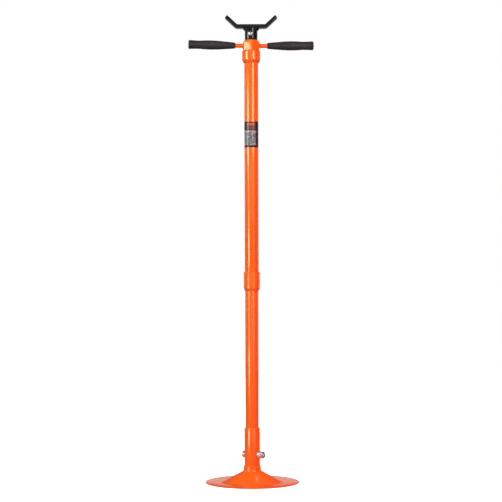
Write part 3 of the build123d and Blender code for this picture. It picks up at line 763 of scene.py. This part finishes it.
# ---- Handle
def hub():
    blank = hexagon_piece("hub_hexagon", HUB_FLATS, hub_low, hub_high)
    corner = HUB_FLATS / math.sqrt(3) + 1
    shoulder_z = hub_high - (corner - HUB_TOP_R)
    turning = lathe("hub_turning", [(HUB_FLATS / 2 + 0.4, hub_low), (corner, hub_low + 1.6),
                                    (corner, shoulder_z), (HUB_TOP_R, hub_high)], solid=True)
    cut(blank, turning, "INTERSECT")
    bore = SCREW_R + 0.1
    cut(blank, lathe("hub_bore", [(bore, hub_low - 1), (bore, hub_high + 1)], solid=True))
    settle(blank, Matrix.Rotation(math.radians(HANDLE_TURN), 4, "Z"))
    round_edges(blank, 0.55, 3, 20)
    smooth(blank, 28)
    give(blank, "handle", orange, "orange_paint", "hub_nut")


def arm_and_grip(side):
    frame_matrix = ARM_AXES[side]
    rod = [(ARM_R, HUB_FLATS / 2 - ARM_SOCKET), (ARM_R, ARM_END - 1), (ARM_R - 1, ARM_END)]
    arm = lathe(f"arm_{side}", rod, solid=True, steps=SMALL_ROUND_STEPS)
    smooth(arm)
    settle(arm, frame_matrix)
    give(arm, "handle", orange, "orange_paint", f"handle_arm_{side}")

    throat = ARM_R + 2.2
    mouth = [(ARM_R + 0.05, ARM_END + 0.3), (ARM_R + 0.05, GRIP_START), (ARM_R + 1.2, GRIP_START),
             (ARM_R + 1.9, GRIP_START + 0.4)]
    flank = flowing([(throat, GRIP_START + 1.1), (throat + 1.15, GRIP_START + 8), (11.2, GRIP_START + 32),
                     (12.7, GRIP_START + 52), (13.2, GRIP_END - 63), (12.75, GRIP_END - 46),
                     (11.9, GRIP_END - 31), (12.1, GRIP_END - 16), (12.6, GRIP_END - 9)])
    groove = [(12.6, GRIP_END - 8.4), (12.15, GRIP_END - 7.9), (12.15, GRIP_END - 6.9),
              (12.7, GRIP_END - 6.4)]
    cap = softened([(12.75, GRIP_END - 6.3), (12.8, GRIP_END), (4, GRIP_END)], (2.8,))
    dimple = [(3.4, GRIP_END - 0.5), (1, GRIP_END - 0.5)]
    grip = lathe(f"grip_{side}_moulded", mouth + flank + groove + cap + dimple, solid=True, steps=72)
    smooth(grip, 40)
    settle(grip, frame_matrix)
    give(grip, "handle", rubber, "grip_rubber", f"grip_{side}")


def arm_beads():
    places = []
    for frame_matrix in ARM_AXES.values():
        places += ring_places(ARM_R + 0.9, HUB_FLATS / 2 + 0.8, 22, 45, frame_matrix)
    bead = weld_run("arm_weld_beads", places, 4.6)
    give(bead, "handle", orange, "orange_paint", "arm_welds")


# ---- Lift screw
def lift_screw():
    """The threaded screw with its keyway, the journal above it and the spigot for the stop collar."""
    shoulder_z = hub_high + 0.3
    thread = threaded_rod("lift_screw_thread", SCREW_R, THREAD_DEPTH, THREAD_PITCH,
                          collar_high, shoulder_z - 3)

    keyway_low, keyway_high, keyway_depth = collar_high - 5, race_low + 5, 8
    middle = (0, (KEYWAY_FLOOR_R + keyway_depth / 2) * MM, (keyway_low + keyway_high) / 2 * MM)
    clear_selection()
    bpy.ops.mesh.primitive_cube_add(size=1, location=middle)
    slot = bpy.context.object
    slot.scale = (KEYWAY_WIDTH * MM, keyway_depth * MM, (keyway_high - keyway_low) * MM)
    settle(slot)
    cut(thread, slot)

    groove_r, groove_low, groove_high = JOURNAL_R - 2.5, keeper_z - 4.1, keeper_z + 4.1
    journal = [(SCREW_R - 0.6, shoulder_z - 3.2), (SCREW_R - 0.6, shoulder_z - 0.6), (SCREW_R - 1.2, shoulder_z),
               (JOURNAL_R, shoulder_z), (JOURNAL_R, groove_low), (groove_r, groove_low),
               (groove_r, groove_high), (JOURNAL_R, groove_high), (JOURNAL_R, sleeve_high - 1.3),
               (JOURNAL_R - 1, sleeve_high - 0.3)]
    shoulder = lathe("shoulder", journal, solid=True)
    spigot = lathe("spigot", [(9, collar_low - 1.5), (9, collar_high + 0.3)], solid=True)
    screw = join([thread, shoulder, spigot], "lift_screw_threaded")
    smooth(screw, 30)
    give(screw, "lift", oiled_thread, "greased_screw", "lift_screw")


# ---- Saddle
def bent_plate():
    """Half of the flat bar, drawn out, bent up step by step, mirrored about the pole and edge-rounded."""
    set_back = SADDLE_BEND_R * math.tan(SADDLE_BEND / 2)
    flat, wing = SADDLE_FLAT - set_back, SADDLE_WING - set_back
    clear_selection()
    bpy.ops.mesh.primitive_plane_add(size=1, location=(0, 0, (sleeve_high + SADDLE_THICK / 2) * MM),
                                     rotation=(0, math.pi / 2, 0))
    plate = bpy.context.object
    plate.name = "saddle_bar"
    plate.scale = (SADDLE_THICK * MM, SADDLE_DEPTH * MM, 1)
    settle(plate)
    into_edit()
    bpy.ops.mesh.delete(type="ONLY_FACE")
    bpy.ops.mesh.select_all(action="SELECT")
    bpy.ops.mesh.extrude_edges_move(TRANSFORM_OT_translate={"value": (flat * MM, 0, 0)})
    centre = (flat * MM, 0, (seat_z + SADDLE_BEND_R) * MM)
    for _ in range(BEND_STEPS):
        bpy.ops.mesh.extrude_edges_move(TRANSFORM_OT_translate={"value": (0, 0, 0)})
        bpy.ops.transform.rotate(value=SADDLE_BEND / BEND_STEPS, orient_axis="Y", center_override=centre)
    reach = (wing * math.cos(SADDLE_BEND) * MM, 0, wing * math.sin(SADDLE_BEND) * MM)
    bpy.ops.mesh.extrude_edges_move(TRANSFORM_OT_translate={"value": reach})
    bpy.ops.mesh.edge_face_add()
    out_of_edit()
    finish_with(plate, "MIRROR", use_axis=(True, False, False), use_clip=True,
                merge_threshold=0.01 * MM)
    close_seams(plate)
    round_edges(plate, 0.9, 3, 40)
    smooth(plate, 35)
    give(plate, "saddle", black_saddle, "black_paint", "saddle_plate")


def saddle_socket():
    sleeve = tube_piece("saddle_sleeve_turned", SLEEVE_R, SLEEVE_BORE_R, sleeve_low, sleeve_high, 0.6)
    spot = lathe("spot_face", [(7.5, SPOT_FACE), (7.5, SLEEVE_R + 9)], solid=True, steps=SMALL_ROUND_STEPS)
    settle(spot, KEEPER_AXIS)
    cut(sleeve, spot)
    hole = lathe("keeper_hole", [(4.05, 5), (4.05, SLEEVE_R + 9)], solid=True, steps=SMALL_ROUND_STEPS)
    settle(hole, KEEPER_AXIS)
    cut(sleeve, hole)
    smooth(sleeve)
    give(sleeve, "saddle", black, "black_paint", "saddle_sleeve")

    under_plate = SADDLE_DEPTH / 2 - 2.5
    upper = ring_places(SLEEVE_R + 2.6, sleeve_high - 1.9, 60, 40, half_width=under_plate)
    lower = ring_places(SLEEVE_R + 1.0, sleeve_high - 3.9, 60, 55, half_width=under_plate)
    bead = weld_run("saddle_weld_bead", upper + lower, 6.0, 0.4)
    give(bead, "saddle", black, "black_paint", "saddle_weld")


def keeper_screw():
    button = softened([(4, -6), (4, 0), (7, 0), (7, 0.9), (6, 3), (3.5, 4.4)], (0, 0, 0.3, 4.5))
    head = lathe("keeper_button", button, solid=True, steps=64)
    cut(head, hexagon_piece("keeper_key", 5, 1.8, 6))
    round_edges(head, 0.15, 2, 50)
    smooth(head, 30)
    settle(head, KEEPER_AXIS @ Matrix.Translation((0, 0, SPOT_FACE * MM)))
    give(head, "saddle", zinc, "bright_zinc", "saddle_keeper")


foot_plate()
foot_weld()
socket_tube()
cross_bolt()
column()
hub()
for side in ARM_AXES:
    arm_and_grip(side)
arm_beads()
lift_screw()
bent_plate()
saddle_socket()
keeper_screw()

# ---- Frame nodes that stay, each with its finish
STAYING = {
    zinc: ("base_lock_washer",),
    dark_steel: ("socket_floor", "coupling_set_screw", "stop_collar", "stop_pin", "guide_key"),
    bronze: ("guide_bush",),
    bearing_steel: ("lower_race", "upper_race", "bearing_balls"),
    cage_brass: ("bearing_cage",),
    label_film: ("label",),
}
for finish, nodes in STAYING.items():
    for node in nodes:
        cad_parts[node].data.materials.clear()
        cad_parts[node].data.materials.append(finish)


# ---- Floor, light and camera
FLOOR_GLOW = 0.86
WHITE_AIR = (1, 1, 1, 1)
BACKDROP = (0.55, 0.55, 0.55, 1)
DARK_ROOM = (0.05, 0.05, 0.05, 1)
BACKDROP_EDGE = (0.972, 0.984)


def floor_finish():
    """A pale studio floor, lit evenly enough to run into the backdrop."""
    finish, w, shader, place = new_finish("studio_floor", Roughness=0.9, Specular_IOR_Level=0.1)
    soft = w.spread(w.noise(place, 3.0, 2.0), 0.3, 0.7, 0.0, 1.0)
    seen = w.add("ShaderNodeLightPath").outputs["Is Camera Ray"]
    tone = w.blend(soft, (0.93, 0.93, 0.93, 1), (0.95, 0.95, 0.95, 1))
    w.feed(shader.inputs["Base Color"], w.blend(seen, (0.16, 0.16, 0.16, 1), tone))
    w.feed(shader.inputs["Emission Color"], w.blend(seen, (0, 0, 0, 1), (1, 1, 1, 1)))
    shader.inputs["Emission Strength"].default_value = FLOOR_GLOW
    return finish


clear_selection()
bpy.ops.mesh.primitive_circle_add(vertices=96, radius=5, fill_type="NGON", location=(0, 0, 0))
floor = bpy.context.object
floor.name = "studio_floor"
floor.data.materials.append(floor_finish())


def soft_box(name, azimuth, distance, height, width, length, power, aim=None, tint=(1, 1, 1)):
    """A soft box at an azimuth left (-) or right (+) of the front. One with an aim height tips
    towards it and only fills; an upright one also shows as a streak in the gloss."""
    angle = math.radians(azimuth)
    light = bpy.data.lights.new(name, "AREA")
    light.shape = "RECTANGLE"
    light.size, light.size_y = width, length
    light.energy, light.color = power, tint
    box = bpy.data.objects.new(name, light)
    box.location = (distance * math.sin(angle), -distance * math.cos(angle), height)
    target = Vector((0, 0, height if aim is None else aim))
    box.rotation_euler = (target - box.location).to_track_quat("-Z", "Y").to_euler()
    box.visible_camera = False
    box.visible_glossy = aim is None
    bpy.context.scene.collection.objects.link(box)


soft_box("left_strip_high", -60, 2.6, 1.46, 1.25, 0.76, 29)
soft_box("left_strip_middle", -48, 2.6, 0.77, 0.9, 0.66, 5)
soft_box("left_strip_low", -48, 2.6, 0.24, 0.9, 0.4, 11)
soft_box("right_strip_high", 30, 2.7, 1.9, 0.9, 1.4, 32)
soft_box("right_strip_low", 34, 2.7, 0.6, 0.7, 1.2, 4)
soft_box("front_sheen", 4, 4.9, 1.4, 4.2, 2.3, 13)
soft_box("key_panel", -22, 2.3, 3.0, 1.4, 1.4, 58, aim=1.0)
soft_box("top_panel", 0, 0.3, 4.2, 3.0, 3.0, 34, aim=0)
soft_box("fill_panel", 60, 3.0, 1.7, 2.0, 2.0, 24, aim=1.0, tint=(1, 0.43, 0.27))
soft_box("low_fill", 66, 2.0, 0.35, 0.8, 0.8, 21, aim=0.12, tint=(1, 0.02, 0.01))
soft_box("back_left", -128, 3.0, 1.3, 0.3, 2.4, 7)
soft_box("back_right", 128, 3.0, 1.3, 0.3, 2.4, 7)
soft_box("back_panel", 180, 2.6, 3.0, 1.6, 1.6, 60, aim=0.9)

# The air is white where the backdrop stands behind the pole, and dim elsewhere.
world = bpy.data.worlds.new("studio_air")
bpy.context.scene.world = world
world.use_nodes = True
air = Wiring(world.node_tree)
backdrop = world.node_tree.nodes["Background"]
seen = air.add("ShaderNodeLightPath").outputs["Is Camera Ray"]
direction = air.add("ShaderNodeTexCoord").outputs["Generated"]
behind = air.spread(air.add("ShaderNodeSeparateXYZ", {0: direction}).outputs[1], *BACKDROP_EDGE)
lit = air.blend(behind, DARK_ROOM, BACKDROP)
air.feed(backdrop.inputs[0], air.blend(seen, lit, WHITE_AIR))
backdrop.inputs[1].default_value = 1.0

CAMERA_DISTANCE = 4.63
CAMERA_HEIGHT = 0.6677
CAMERA_ASIDE = -0.0020
CAMERA_ROLL = math.radians(0.15)
HALF_VIEW = 0.7246
lens = bpy.data.cameras.new("camera")
lens.sensor_fit = "HORIZONTAL"
lens.angle = 2 * math.atan(HALF_VIEW / CAMERA_DISTANCE)
camera = bpy.data.objects.new("camera", lens)
camera.location = (CAMERA_ASIDE, -CAMERA_DISTANCE, CAMERA_HEIGHT)
camera.rotation_euler = (math.radians(90), CAMERA_ROLL, 0)
bpy.context.scene.collection.objects.link(camera)
bpy.context.scene.camera = camera
bpy.context.scene.view_settings.view_transform = "Standard"
